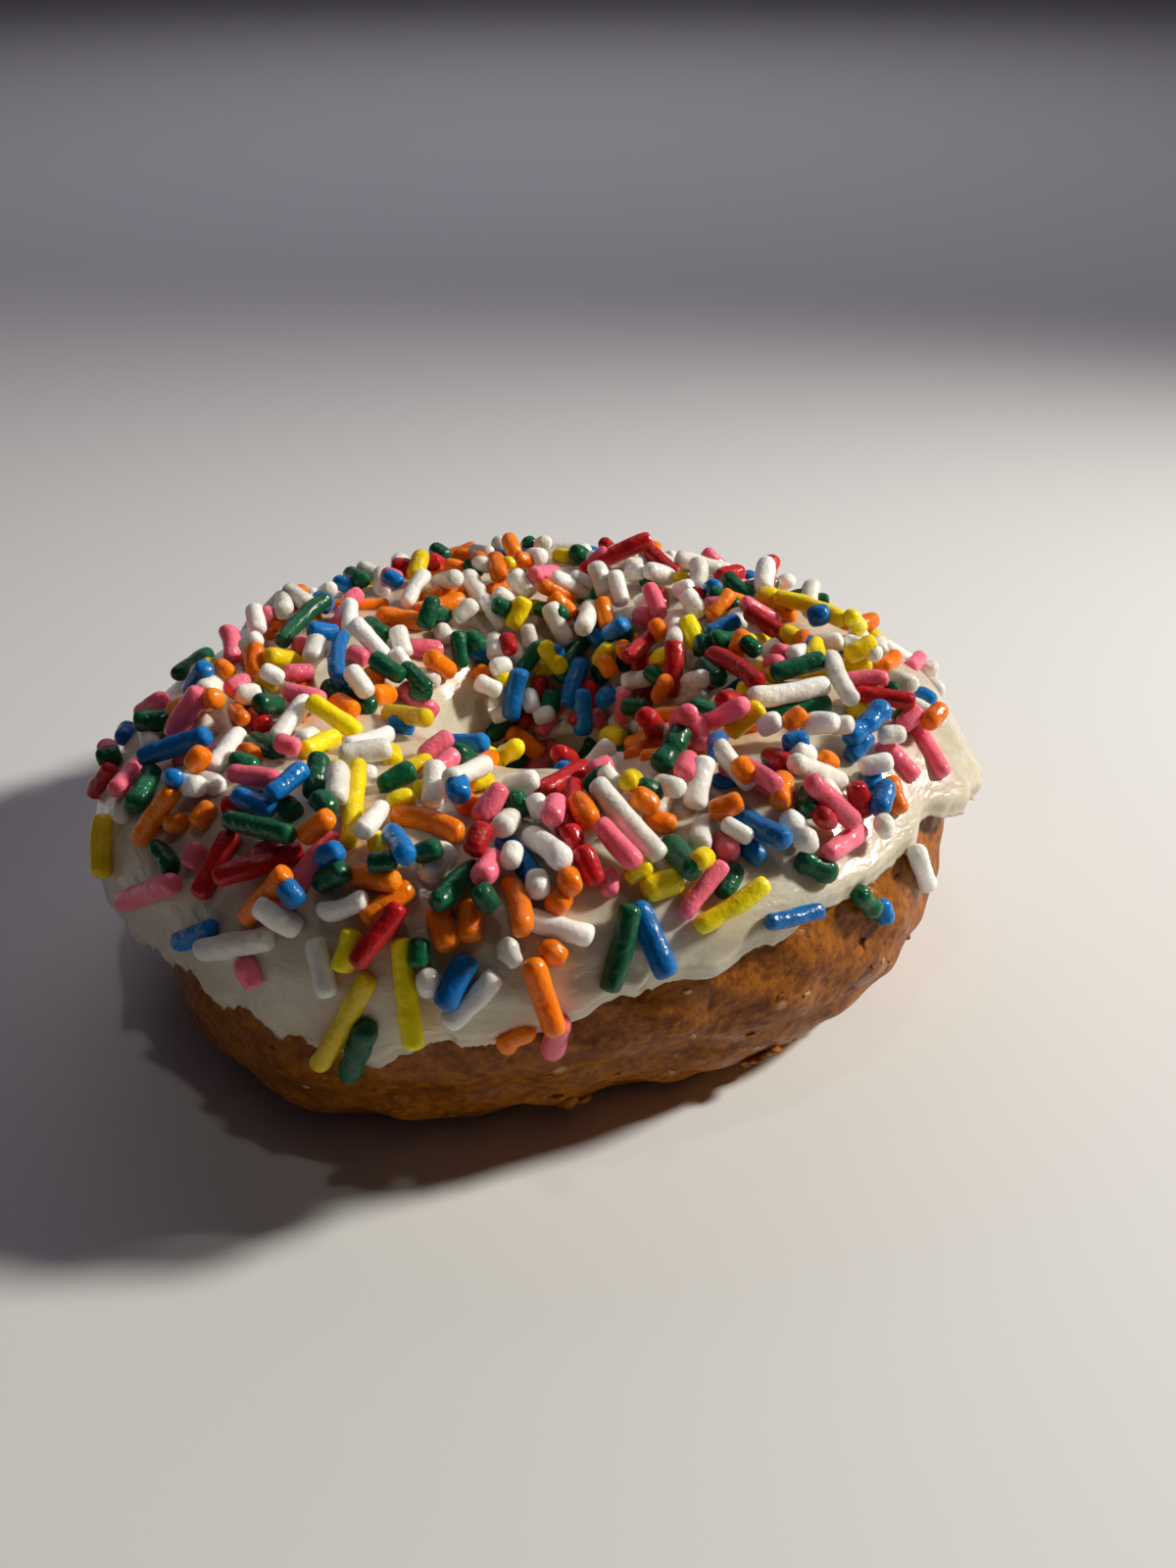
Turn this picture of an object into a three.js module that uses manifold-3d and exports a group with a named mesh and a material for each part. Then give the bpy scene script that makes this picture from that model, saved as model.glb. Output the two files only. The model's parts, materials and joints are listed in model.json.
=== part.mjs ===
// A frosted ring doughnut strewn with sugar sprinkles, in millimetres with +Z up. It lies on its flat fried
// underside. The origin is the middle of its footprint on the table, +X is its right and -Y its front.
// Both pieces are drawn around the tube of the ring: azimuth turns round the ring from +X, and section turns
// round the tube from straight outwards (0 degrees) over the top (90) to the hole (180).
import * as THREE from "three";
import { mergeVertices } from "three/addons/utils/BufferGeometryUtils.js";
import Module from "manifold-3d";

const TURN = 2 * Math.PI;
const radians = THREE.MathUtils.degToRad;
const wave = (angle, cycles, phase) => Math.sin(cycles * angle + phase);

// The dough ring: its tube, and how flat and how square the tube is.
const AXIS = new THREE.Vector2(1.9, -0.3); // the hole's axis, off centre because the frosting hangs out
const RING_RADIUS = 24;
const TUBE_HALF_WIDTH = 13.5;
const TUBE_MIDDLE_HEIGHT = 12.4;
const TUBE_RISE = 11.4;
const TUBE_SHARE = TUBE_HALF_WIDTH / RING_RADIUS;
const TUBE_DROP = 13.7; // past the table, so that the underside is pressed flat
const TOP_SQUARENESS = 2.25;
const BASE_SQUARENESS = 2.05;
const CRAG_DEPTH = 0.28;

// The frosting: a thick coat from an uneven outer edge to an edge down in the hole.
const COAT_THICKNESS = 2.6;
const HOLE_COAT_THICKNESS = 1.7;
const COAT_WAVE = 0.27;
const LIP_THICKNESS = 1.5;
const LIP_WIDTH = radians(30); // of the band that thins towards the edge
const HANG_FROM = radians(52); // the section where the overhang starts
const HOLE_EDGE_SECTION = 207;
const BURIED = 1.6; // how far the coat's inner face starts inside the dough, which is then cut away
const CLEARANCE = 0.3; // between the frosting and the dough under it

// The hand-formed rim, by azimuth in degrees. The dough's side swells past a plain tube, and its belly below
// the frosting swells further. The frosting reaches down to a section of the tube, and hangs out from it there.
const RIM_STATIONS = [
  { azimuth: 0, swell: 0.3, belly: 0.3, section: 14, overhang: 1.7 },
  { azimuth: 22, swell: 0.1, belly: 0, section: 8, overhang: 1.0 },
  { azimuth: 60, swell: -0.2, belly: 0, section: 12, overhang: 0.4 },
  { azimuth: 100, swell: 0.2, belly: 0, section: 5, overhang: 0.7 },
  { azimuth: 140, swell: 0, belly: 0, section: 6, overhang: 1.2 },
  { azimuth: 170, swell: 0, belly: 0, section: 2, overhang: 3.1 },
  { azimuth: 190, swell: 0.2, belly: 0.5, section: -4, overhang: 3.9 },
  { azimuth: 207, swell: 1.8, belly: 1.2, section: -3, overhang: 1.8 },
  { azimuth: 222, swell: 3.0, belly: 1.6, section: 3, overhang: 0.4 },
  { azimuth: 237, swell: 3.3, belly: 1.7, section: 3, overhang: 0.3 },
  { azimuth: 250, swell: 2.3, belly: 0.8, section: -4, overhang: 0.5 },
  { azimuth: 258, swell: 1.1, belly: -0.2, section: 3, overhang: 0.3 },
  { azimuth: 268, swell: 0, belly: -0.8, section: 9, overhang: 0.2 },
  { azimuth: 281, swell: -1.1, belly: -1.6, section: 18, overhang: 0.2 },
  { azimuth: 305, swell: -0.9, belly: -0.4, section: 27, overhang: 0.2 },
  { azimuth: 333, swell: -0.1, belly: 0.3, section: 29, overhang: 0.3 },
  { azimuth: 345, swell: 0.1, belly: 0.3, section: 20, overhang: 2.0 },
  { azimuth: 351, swell: 0.2, belly: 0.3, section: 16, overhang: 2.7 },
];
const EDGE_TEAR = 1.7; // degrees of section that the torn edge wanders

// The sprinkles: short rods of pressed sugar.
const SPRINKLE_COUNT = 190;
const SPRINKLE_RADIUS = 1.12;
const SPRINKLE_LENGTHS = [7.6, 3.4];
const SPRINKLE_SIDES = 5;
const SPRINKLE_SUNK = 0.32; // of its radius
const SPRINKLE_TILT = 7;
const SPRINKLE_GAP = 0.15;
const SPRINKLE_TRIES = 9; // places tried for each one, of which the emptiest is taken
const SEED = 20;

const AZIMUTH_STEPS = 64;
const DOUGH_SECTIONS = [-108, -72, -50, -26, -6, 12, 32, 60, 95, 130, 165, 200, 228];
const COAT_STEPS = 9;

// The same small random numbers each time it runs.
function seededRandom(seed) {
  let state = seed;
  return () => {
    state = (state + 0x6d2b79f5) | 0;
    let mixed = Math.imul(state ^ (state >>> 15), 1 | state);
    mixed = (mixed + Math.imul(mixed ^ (mixed >>> 7), 61 | mixed)) ^ mixed;
    return ((mixed ^ (mixed >>> 14)) >>> 0) / 4294967296;
  };
}

// How far a plain tube reaches from its own middle, towards a section angle.
function tubeReach(section) {
  const [height, squareness] = Math.sin(section) > 0 ? [TUBE_RISE, TOP_SQUARENESS] : [TUBE_DROP, BASE_SQUARENESS];
  const across = Math.pow(Math.abs(Math.cos(section)) / TUBE_HALF_WIDTH, squareness);
  const up = Math.pow(Math.abs(Math.sin(section)) / height, squareness);
  return Math.pow(across + up, -1 / squareness);
}

// A value that runs smoothly round the ring from station to station.
function atRim(azimuth, key) {
  const degrees = THREE.MathUtils.euclideanModulo(THREE.MathUtils.radToDeg(azimuth), 360);
  const after = RIM_STATIONS.findIndex((station) => station.azimuth > degrees);
  const next = after < 0 ? { ...RIM_STATIONS[0], azimuth: 360 } : RIM_STATIONS[after];
  const last = RIM_STATIONS[after < 0 ? RIM_STATIONS.length - 1 : after - 1];
  const share = THREE.MathUtils.smoothstep(degrees, last.azimuth, next.azimuth);
  return THREE.MathUtils.lerp(last[key], next[key], share);
}

// How far the side stands out past the plain tube, most where it faces straight outwards.
function swollen(azimuth, section) {
  const outwards = Math.max(0, Math.cos(section));
  const below = THREE.MathUtils.smoothstep(-section, 0, radians(30));
  return outwards * (atRim(azimuth, "swell") + below * atRim(azimuth, "belly"));
}

// Fried crust: a shallow crease round the side, soft lumps and small crags.
function crust(azimuth, section) {
  const side = Math.max(0, Math.cos(section));
  const crease = -0.35 * Math.exp(-Math.pow((section - radians(-24)) / radians(9), 2));
  const lumps = 0.5 * wave(azimuth, 5, 3 * section) + 0.4 * wave(azimuth, 9, 1.3 - 4 * section);
  const crags = wave(azimuth, 23, 5 * section) * wave(section, 9, 4 * azimuth);
  return side * crease + CRAG_DEPTH * (lumps + crags);
}

function doughReach(azimuth, section) {
  return tubeReach(section) + swollen(azimuth, section) + crust(azimuth, section);
}

function outerEdgeSection(azimuth) {
  const tear = 0.6 * wave(azimuth, 13, 0.4) + 0.5 * wave(azimuth, 29, 2.1) + 0.4 * wave(azimuth, 37, 5);
  return radians(atRim(azimuth, "section") + EDGE_TEAR * tear);
}

// How far the frosting's outer face stands from the tube's middle.
function frostingReach(azimuth, section) {
  const intoHole = THREE.MathUtils.smoothstep(section, radians(120), radians(190));
  const edge = outerEdgeSection(azimuth);
  const pastLip = THREE.MathUtils.smoothstep(section, edge, edge + LIP_WIDTH);
  const outside = THREE.MathUtils.lerp(LIP_THICKNESS, COAT_THICKNESS, pastLip);
  const thickness = THREE.MathUtils.lerp(outside, HOLE_COAT_THICKNESS, intoHole);
  const swirls = COAT_WAVE * (wave(azimuth, 4, 2 * section) + 0.6 * wave(azimuth, 11, 1 - 3 * section));
  const fall = (HANG_FROM - section) / (HANG_FROM - edge);
  const hang = atRim(azimuth, "overhang") * THREE.MathUtils.smoothstep(fall, 0, 1);
  return tubeReach(section) + swollen(azimuth, section) + thickness + swirls + hang;
}

function onTube(azimuth, section, reach) {
  const radius = RING_RADIUS + reach * Math.cos(section);
  const height = Math.max(0, TUBE_MIDDLE_HEIGHT + reach * Math.sin(section));
  return new THREE.Vector3(
    AXIS.x + radius * Math.cos(azimuth),
    AXIS.y + radius * Math.sin(azimuth),
    height,
  );
}

// A closed skin round the ring: outlineAt gives the same number of points at every azimuth.
function ringGeometry(outlineAt) {
  const positions = [];
  const index = [];
  let count = 0;
  for (let step = 0; step < AZIMUTH_STEPS; step++) {
    const outline = outlineAt((step / AZIMUTH_STEPS) * TURN);
    count = outline.length;
    for (const point of outline) positions.push(point.x, point.y, point.z);
  }
  for (let step = 0; step < AZIMUTH_STEPS; step++) {
    const here = step * count;
    const there = ((step + 1) % AZIMUTH_STEPS) * count;
    for (let i = 0; i < count; i++) {
      const j = (i + 1) % count;
      index.push(here + i, there + i, there + j);
      index.push(here + i, there + j, here + j);
    }
  }
  const geometry = new THREE.BufferGeometry();
  geometry.setAttribute("position", new THREE.Float32BufferAttribute(positions, 3));
  geometry.setIndex(index);
  return geometry;
}

function doughOutline(azimuth, growth) {
  return DOUGH_SECTIONS.map((degrees) => {
    const section = radians(degrees);
    return onTube(azimuth, section, doughReach(azimuth, section) + growth);
  });
}

// The frosting before the dough is cut out of it: its outer face, then back under its lip and inside the dough.
function frostingOutline(azimuth) {
  const edge = outerEdgeSection(azimuth);
  const holeEdge = radians(HOLE_EDGE_SECTION + 3 * wave(azimuth, 5, 1) + 2 * wave(azimuth, 12, 0));
  const outline = [];
  for (let step = 0; step <= COAT_STEPS; step++) {
    const section = THREE.MathUtils.lerp(edge, holeEdge, step / COAT_STEPS);
    outline.push(onTube(azimuth, section, frostingReach(azimuth, section)));
  }
  for (const degrees of [200, 165, 130, 95, 70]) {
    const section = radians(degrees);
    outline.push(onTube(azimuth, section, tubeReach(section) - BURIED));
  }
  const underLip = [
    { section: Math.max(edge + radians(24), radians(34)), depth: COAT_THICKNESS + BURIED },
    { section: edge + radians(7), depth: LIP_THICKNESS },
    { section: edge - radians(1.5), depth: LIP_THICKNESS * 0.55 },
  ];
  for (const { section, depth } of underLip) {
    outline.push(onTube(azimuth, section, frostingReach(azimuth, section) - depth));
  }
  return outline;
}

const wasm = await Module();
wasm.setup();

function solidFrom(geometry) {
  const bare = geometry.clone();
  bare.deleteAttribute("normal");
  bare.deleteAttribute("uv");
  const merged = mergeVertices(bare, 1e-4);
  return new wasm.Manifold(
    new wasm.Mesh({
      numProp: 3,
      vertProperties: new Float32Array(merged.attributes.position.array),
      triVerts: new Uint32Array(merged.index.array),
    }),
  );
}

// The outer shell alone, so a hollow sealed between sprinkles is filled and a loose scrap is dropped.
function outerShell(solid) {
  const { vertProperties, triVerts } = solid.getMesh();
  const owner = Array.from({ length: vertProperties.length / 3 }, (_, i) => i);
  const find = (i) => {
    while (owner[i] !== i) i = owner[i] = owner[owner[i]];
    return i;
  };
  for (let i = 0; i < triVerts.length; i += 3) {
    owner[find(triVerts[i + 1])] = find(triVerts[i]);
    owner[find(triVerts[i + 2])] = find(triVerts[i]);
  }
  const sizes = new Map();
  for (let i = 0; i < triVerts.length; i += 3) {
    const shell = find(triVerts[i]);
    sizes.set(shell, (sizes.get(shell) ?? 0) + 1);
  }
  const largest = [...sizes].sort((a, b) => b[1] - a[1])[0][0];
  const kept = [];
  for (let i = 0; i < triVerts.length; i += 3) {
    if (find(triVerts[i]) === largest) kept.push(triVerts[i], triVerts[i + 1], triVerts[i + 2]);
  }
  const geometry = new THREE.BufferGeometry();
  geometry.setAttribute("position", new THREE.Float32BufferAttribute(vertProperties, 3));
  geometry.setIndex(kept);
  return geometry;
}

// Sprinkles lie thick on the top and in the hole, thin towards the outer edge, and miss two smeared patches.
function sprinkleDensity(azimuth, section) {
  const edge = outerEdgeSection(azimuth);
  const top = THREE.MathUtils.smoothstep(section, edge + radians(6), edge + radians(48));
  const bareSlope = Math.hypot(azimuth - radians(178), section - radians(140)) < radians(17);
  const barePatch = Math.hypot(azimuth - radians(338), (section - edge) * 0.8) < radians(24);
  return bareSlope || barePatch ? 0 : 0.25 + 0.75 * top;
}

function coatPlace(azimuth, section) {
  const step = 1e-3;
  const at = (a, s) => onTube(a, s, frostingReach(a, s));
  const point = at(azimuth, section);
  const along = at(azimuth + step, section).sub(point);
  const round = at(azimuth, section + step).sub(point);
  return { point, along: along.clone().normalize(), normal: along.cross(round).normalize() };
}

// The nearest approach of two rods' centre lines, stepping along each.
function rodDistance(a, b) {
  const line = new THREE.Line3(b.start, b.end);
  const nearest = new THREE.Vector3();
  const point = new THREE.Vector3();
  let least = Infinity;
  for (let step = 0; step <= 8; step++) {
    point.lerpVectors(a.start, a.end, step / 8);
    line.closestPointToPoint(point, true, nearest);
    least = Math.min(least, point.distanceTo(nearest));
  }
  return least;
}

function drawSprinkle(random, length) {
  let azimuth, section, share;
  do {
    azimuth = random() * TURN;
    section = THREE.MathUtils.lerp(outerEdgeSection(azimuth) + radians(5), radians(HOLE_EDGE_SECTION - 9), random());
    // The coat is widest where it faces outwards, so as many places there need more draws.
    share = (1 + TUBE_SHARE * Math.cos(section)) / (1 + TUBE_SHARE);
  } while (random() > sprinkleDensity(azimuth, section) * share);
  const { point, along, normal } = coatPlace(azimuth, section);
  const heading = random() * TURN;
  const tilt = radians(SPRINKLE_TILT) * (2 * random() - 1);
  const direction = along.applyAxisAngle(normal, heading);
  direction.addScaledVector(normal, Math.tan(tilt)).normalize();
  const centre = point.addScaledVector(normal, SPRINKLE_RADIUS * (1 - SPRINKLE_SUNK));
  const start = centre.clone().addScaledVector(direction, -length / 2);
  const end = centre.clone().addScaledVector(direction, length / 2);
  return { centre, direction, start, end, length };
}

function strewSprinkles() {
  const random = seededRandom(SEED);
  const rods = [];
  const room = (rod) => rods.reduce((least, other) => Math.min(least, rodDistance(rod, other)), 99);
  while (rods.length < SPRINKLE_COUNT) {
    const share = rods.length / SPRINKLE_COUNT;
    const length = THREE.MathUtils.lerp(...SPRINKLE_LENGTHS, share) * (0.9 + 0.2 * random());
    let best = null;
    let most = 2 * SPRINKLE_RADIUS + SPRINKLE_GAP;
    for (let turn = 0; turn < SPRINKLE_TRIES; turn++) {
      const rod = drawSprinkle(random, length);
      const free = room(rod);
      if (free > most) {
        best = rod;
        most = free;
      }
    }
    if (best) rods.push(best);
  }
  return rods;
}

function sprinkleGeometry({ centre, direction, length }) {
  const geometry = new THREE.CylinderGeometry(
    SPRINKLE_RADIUS, SPRINKLE_RADIUS, length, SPRINKLE_SIDES, 1,
  );
  const turn = new THREE.Quaternion().setFromUnitVectors(new THREE.Vector3(0, 1, 0), direction);
  return geometry.applyQuaternion(turn).translate(centre.x, centre.y, centre.z);
}

function frostingGeometry() {
  let solid = solidFrom(ringGeometry(frostingOutline));
  for (const rod of strewSprinkles()) solid = solid.add(solidFrom(sprinkleGeometry(rod)));
  const room = solidFrom(ringGeometry((azimuth) => doughOutline(azimuth, CLEARANCE)));
  return outerShell(solid.subtract(room));
}

const dough = new THREE.Mesh(
  ringGeometry((azimuth) => doughOutline(azimuth, 0)),
  new THREE.MeshStandardMaterial({ color: 0x8a5222, roughness: 0.55, metalness: 0 }),
);
dough.name = "dough";

const frosting = new THREE.Mesh(
  frostingGeometry(),
  new THREE.MeshStandardMaterial({ color: 0xf1eadb, roughness: 0.4, metalness: 0 }),
);
frosting.name = "frosting";

const doughnut = new THREE.Group();
doughnut.add(dough, frosting);

export default doughnut;
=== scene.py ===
"""The looks of a sprinkle frosted doughnut, laid out as a Blender add-on.

The shapes repeat the part's named sizes and are drawn as it draws them, round the tube of a ring. Azimuth
turns round the ring from +X. Section turns round the tube from straight outwards (0 degrees) over the top
(90) to the hole (180). Lengths are in millimetres, and each mesh is made in metres, in the part's frame.
"""

import itertools
import json
import math

import bpy
import numpy as np
from bpy.props import FloatProperty, FloatVectorProperty, IntProperty, PointerProperty
from mathutils import Matrix

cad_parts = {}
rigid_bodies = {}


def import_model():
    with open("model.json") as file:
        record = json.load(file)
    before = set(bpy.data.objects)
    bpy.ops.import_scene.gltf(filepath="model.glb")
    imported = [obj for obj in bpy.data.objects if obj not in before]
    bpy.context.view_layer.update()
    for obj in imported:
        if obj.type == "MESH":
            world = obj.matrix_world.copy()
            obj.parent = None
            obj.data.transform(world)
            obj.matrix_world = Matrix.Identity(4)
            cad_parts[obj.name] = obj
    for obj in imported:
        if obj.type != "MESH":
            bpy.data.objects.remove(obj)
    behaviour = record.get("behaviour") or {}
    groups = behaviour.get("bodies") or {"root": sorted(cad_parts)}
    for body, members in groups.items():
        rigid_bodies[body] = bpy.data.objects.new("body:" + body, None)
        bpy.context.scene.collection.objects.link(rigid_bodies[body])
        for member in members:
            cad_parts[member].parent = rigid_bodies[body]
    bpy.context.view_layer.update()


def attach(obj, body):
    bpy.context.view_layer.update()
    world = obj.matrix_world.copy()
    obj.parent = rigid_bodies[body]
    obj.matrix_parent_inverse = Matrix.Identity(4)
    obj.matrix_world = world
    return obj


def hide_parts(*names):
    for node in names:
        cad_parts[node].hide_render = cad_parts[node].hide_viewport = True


bl_info = {
    "name": "Sprinkle frosted doughnut",
    "version": (1, 0, 0),
    "blender": (4, 5, 0),
    "location": "3D View > Sidebar > Doughnut",
    "description": "Builds a ring doughnut with torn white frosting and rod sprinkles over its packed solids",
    "category": "Object",
}

MM = 0.001

# The part's named sizes, in millimetres and degrees.
AXIS = np.array([1.9, -0.3])
RING_RADIUS = 24.0
TUBE_HALF_WIDTH = 13.5
TUBE_MIDDLE_HEIGHT = 12.4
TUBE_RISE = 11.4
TUBE_DROP = 13.7
TOP_SQUARENESS = 2.25
BASE_SQUARENESS = 2.05
CRAG_DEPTH = 0.28
COAT_THICKNESS = 2.6
HOLE_COAT_THICKNESS = 1.7
COAT_WAVE = 0.27
LIP_THICKNESS = 1.5
LIP_WIDTH = 30.0
HANG_FROM = 52.0
HOLE_EDGE_SECTION = 207.0
EDGE_TEAR = 1.7

# The rim by azimuth, as in the part: swell, belly, section of the frosting's edge, and its overhang.
RIM = np.array(
    [
        [0, 0.3, 0.3, 14, 1.7],
        [22, 0.1, 0, 8, 1.0],
        [60, -0.2, 0, 12, 0.4],
        [100, 0.2, 0, 5, 0.7],
        [140, 0, 0, 6, 1.2],
        [170, 0, 0, 2, 3.1],
        [190, 0.2, 0.5, -4, 3.9],
        [207, 1.8, 1.2, -3, 1.8],
        [222, 3.0, 1.6, 3, 0.4],
        [237, 3.3, 1.7, 3, 0.3],
        [250, 2.3, 0.8, -4, 0.5],
        [258, 1.1, -0.2, 3, 0.3],
        [268, 0, -0.8, 9, 0.2],
        [281, -1.1, -1.6, 18, 0.2],
        [305, -0.9, -0.4, 27, 0.2],
        [333, -0.1, 0.3, 29, 0.3],
        [345, 0.1, 0.3, 20, 2.0],
        [351, 0.2, 0.3, 16, 2.7],
        [360, 0.3, 0.3, 14, 1.7],
    ]
)
SWELL, BELLY, EDGE, OVERHANG = 1, 2, 3, 4

# The camera, fitted to the photograph in its 1200 by 1600 frame: its aim, and from how far and how high.
AIM = np.array([5.3, -0.1, 14.0])
CAMERA_DISTANCE = 150.0
CAMERA_ELEVATION = 30.5
FOCAL_PIXELS = 1560.0
FRAME_WIDTH, FRAME_HEIGHT = 1200, 1600
SENSOR = 36  # the camera's sensor, in millimetres

# The lights: kind, place, what it points at, width in metres, watts, colour, and a spot's cone in degrees.
LIGHTS = {
    "key": ("SPOT", (541, 110, 366), (0, -60, 0), 0.04, 21.5, (1.0, 0.945, 0.85), 58),
    "top": ("SPOT", (-10, -40, 600), (2, -2, 26), 0.03, 2.1, (1.0, 0.95, 0.86), 8.6),
    "fill": ("AREA", (-170, 290, 480), (0, 0, 10), 0.5, 0.12, (0.86, 0.76, 1.0)),
    "back": ("AREA", (0, 620, 520), (0, 640, 0), 0.7, 1.1, (0.94, 0.88, 1.0)),
}
AMBIENT, AMBIENT_STRENGTH = (0.88, 0.70, 0.86), 0.022
FLOOR_HALF, FLOOR_ROUGHNESS = 2500.0, 0.75

# The sprinkles, in millimetres unless a comment says otherwise.
SUGAR_RADIUS = 0.91
SHORTEST, LONGEST, LONGEST_STREWN = 2.3, 9.5, 8.6
STREWN_LENGTH, STREWN_SPREAD = 5.4, 1.8
ROUNDED = 0.6  # how far an end reaches past the straight middle line, as a share of the radius
SPRINKLE_SIDES = 14
SINK = 0.45  # how far a sprinkle on bare frosting sinks in, as a share of its radius
PRESS = 0.86  # how near two sprinkles' middle lines come, as a share of their two radii
STEEPEST = 32.0  # degrees that a sprinkle leans on those under it
HIGHEST = 2.6  # how far the middle of a piled sprinkle rises over one on bare frosting
HIGHEST_UNSEEN = 1.4  # the same, where the photograph doesn't look
PRESSED_SINK, PRESSED_HIGHEST = 1.0, 0.9  # the sink and rise of the layer that is pressed in first
BALL_STEP = 1.1  # between the balls that stand for a sprinkle that others rest on
END_ON = 11  # pixels between the ends of a sprinkle, below which it is seen end on
END_ON_DEPTH = 0.4  # from the shown end of such a one to its middle, as a share of its length
SLACK = 3  # pixels that a sprinkle may be drawn longer than shown
SETTLING_ROUNDS = 6  # times that a shown sprinkle is moved to lie under its pixels
TRIES_EACH = 25

# Sugar colours as linear albedo, with each one's share of the strewn sprinkles.
SPRINKLE_COLOURS = {
    "white": ((0.95, 0.92, 0.83), 0.29),
    "pink": ((0.95, 0.17, 0.25), 0.13),
    "orange": ((0.98, 0.21, 0.001), 0.14),
    "yellow": ((0.98, 0.70, 0.003), 0.12),
    "green": ((0.002, 0.105, 0.040), 0.14),
    "blue": ((0.002, 0.17, 0.50), 0.10),
    "red": ((0.46, 0.008, 0.010), 0.08),
}

# Crumbs that the photograph shows on the dough: what of, then their pixel and width in millimetres.
SHOWN_CRUMBS = """
sugar 707 1057 0.9, sugar 701 1012 0.7, sugar 822 1015 0.8, flake 776 1079 2.4, flake 790 1072 1.8,
flake 762 1084 1.6, flake 580 1124 2.2, flake 566 1120 1.5, flake 594 1122 1.6, flake 388 1112 1.3
"""
CRUMB_RINGS = 7
CRUMB_LOWEST = 0.02  # millimetres that a crumb stays above the table

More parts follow.
